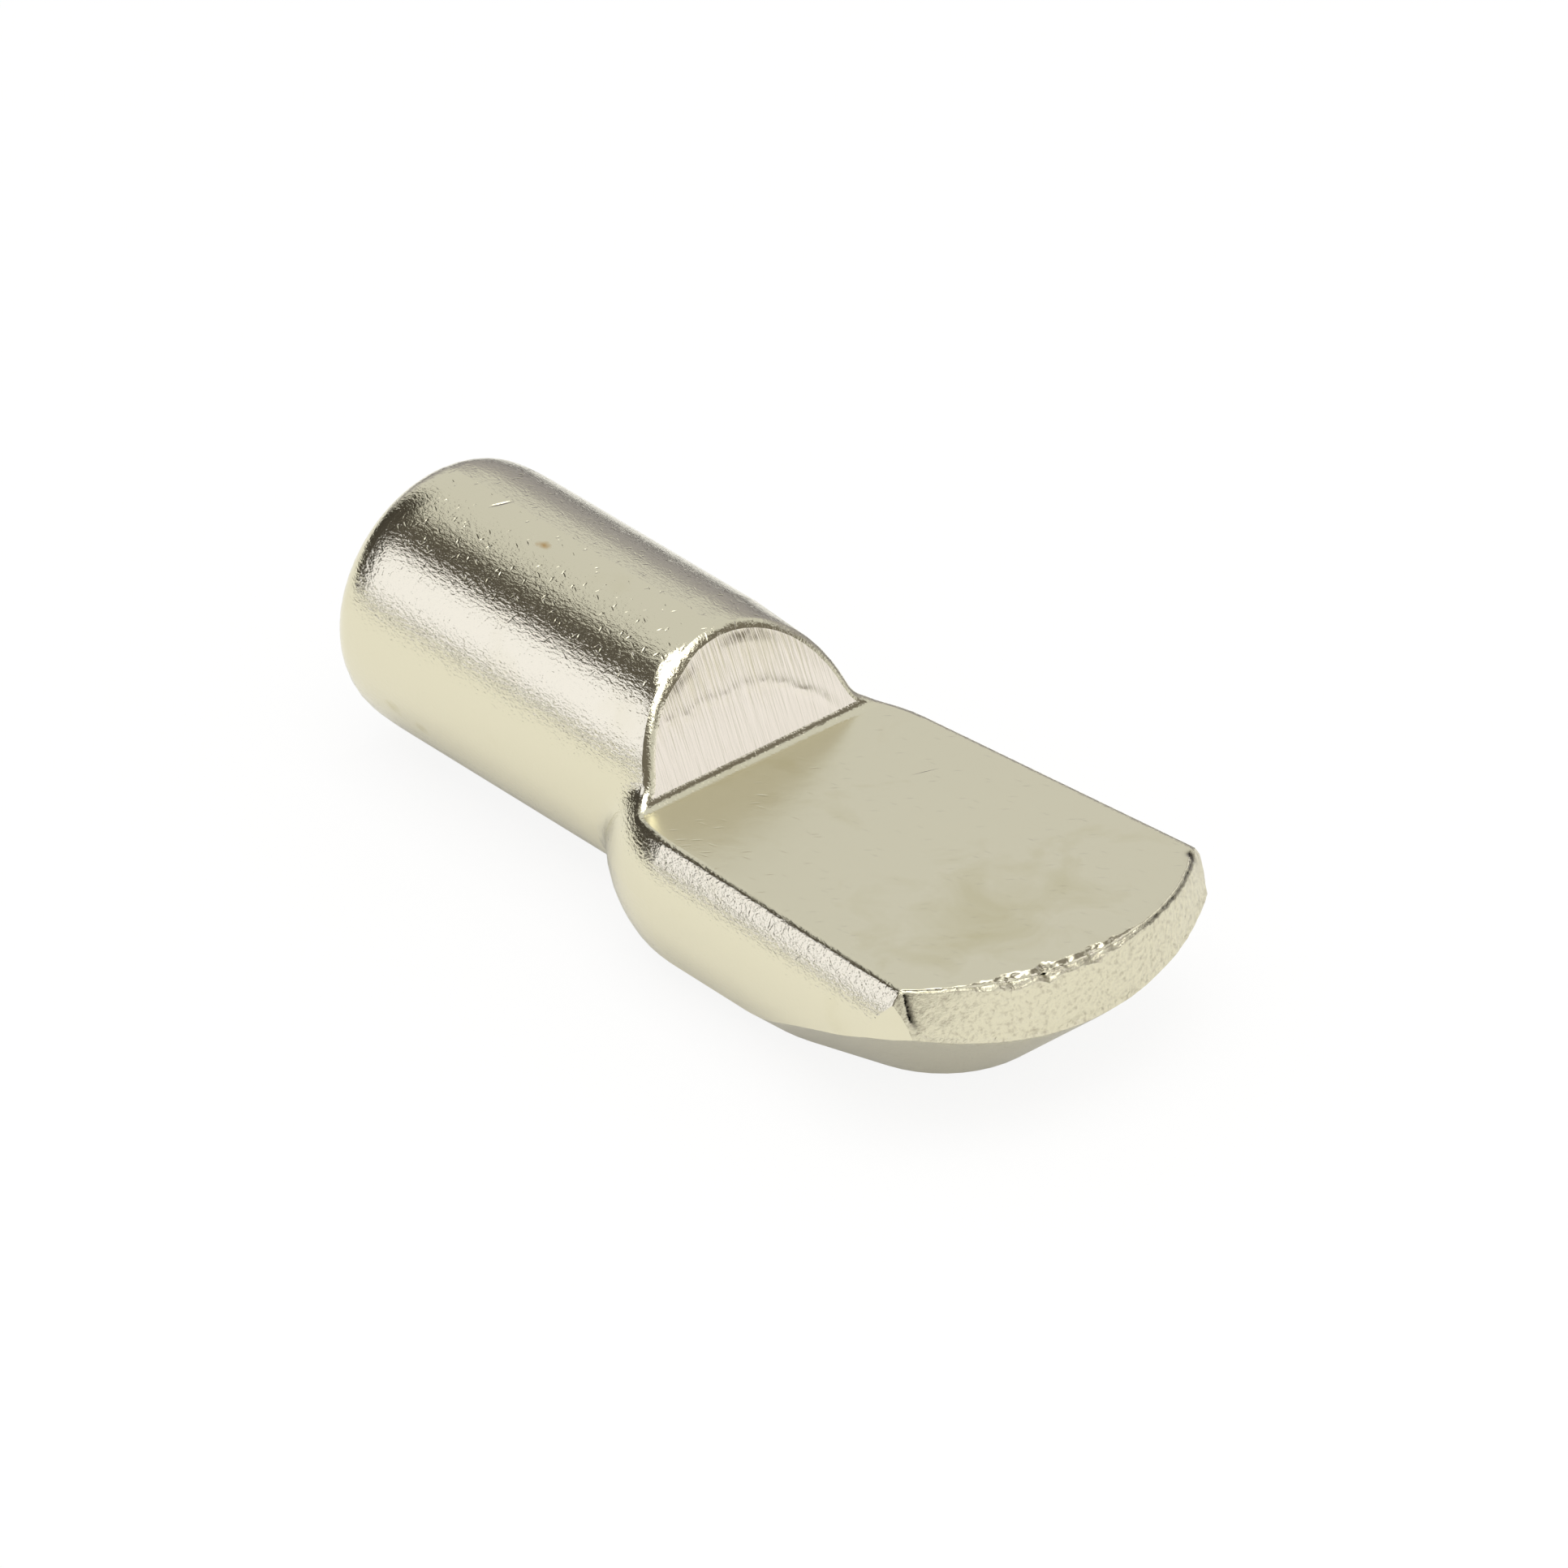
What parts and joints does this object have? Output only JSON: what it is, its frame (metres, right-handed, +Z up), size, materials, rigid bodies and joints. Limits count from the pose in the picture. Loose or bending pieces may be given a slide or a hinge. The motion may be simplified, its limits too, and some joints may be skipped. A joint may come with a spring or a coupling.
{
  "type": "shelf support pin",
  "caption": "Plated steel shelf support pin: a round shank that plugs into a hole in the cabinet side, and a pressed spoon-shaped tongue with a flat top that carries the shelf.",
  "frame": {"origin": "on the shank's axis, at the mouth of the hole that takes the shank", "axes": "+X along the shank's axis from the shank to the tongue's tip, +Z up out of the flat that carries the shelf, +Y across the tongue"},
  "size_m": [0.017, 0.0074, 0.005],
  "materials": {
    "nickel_plate": "bright nickel plating on steel wire"
  },
  "bodies": {
    "root": {"shelf_pin": "nickel_plate"}
  },
  "joints": []
}
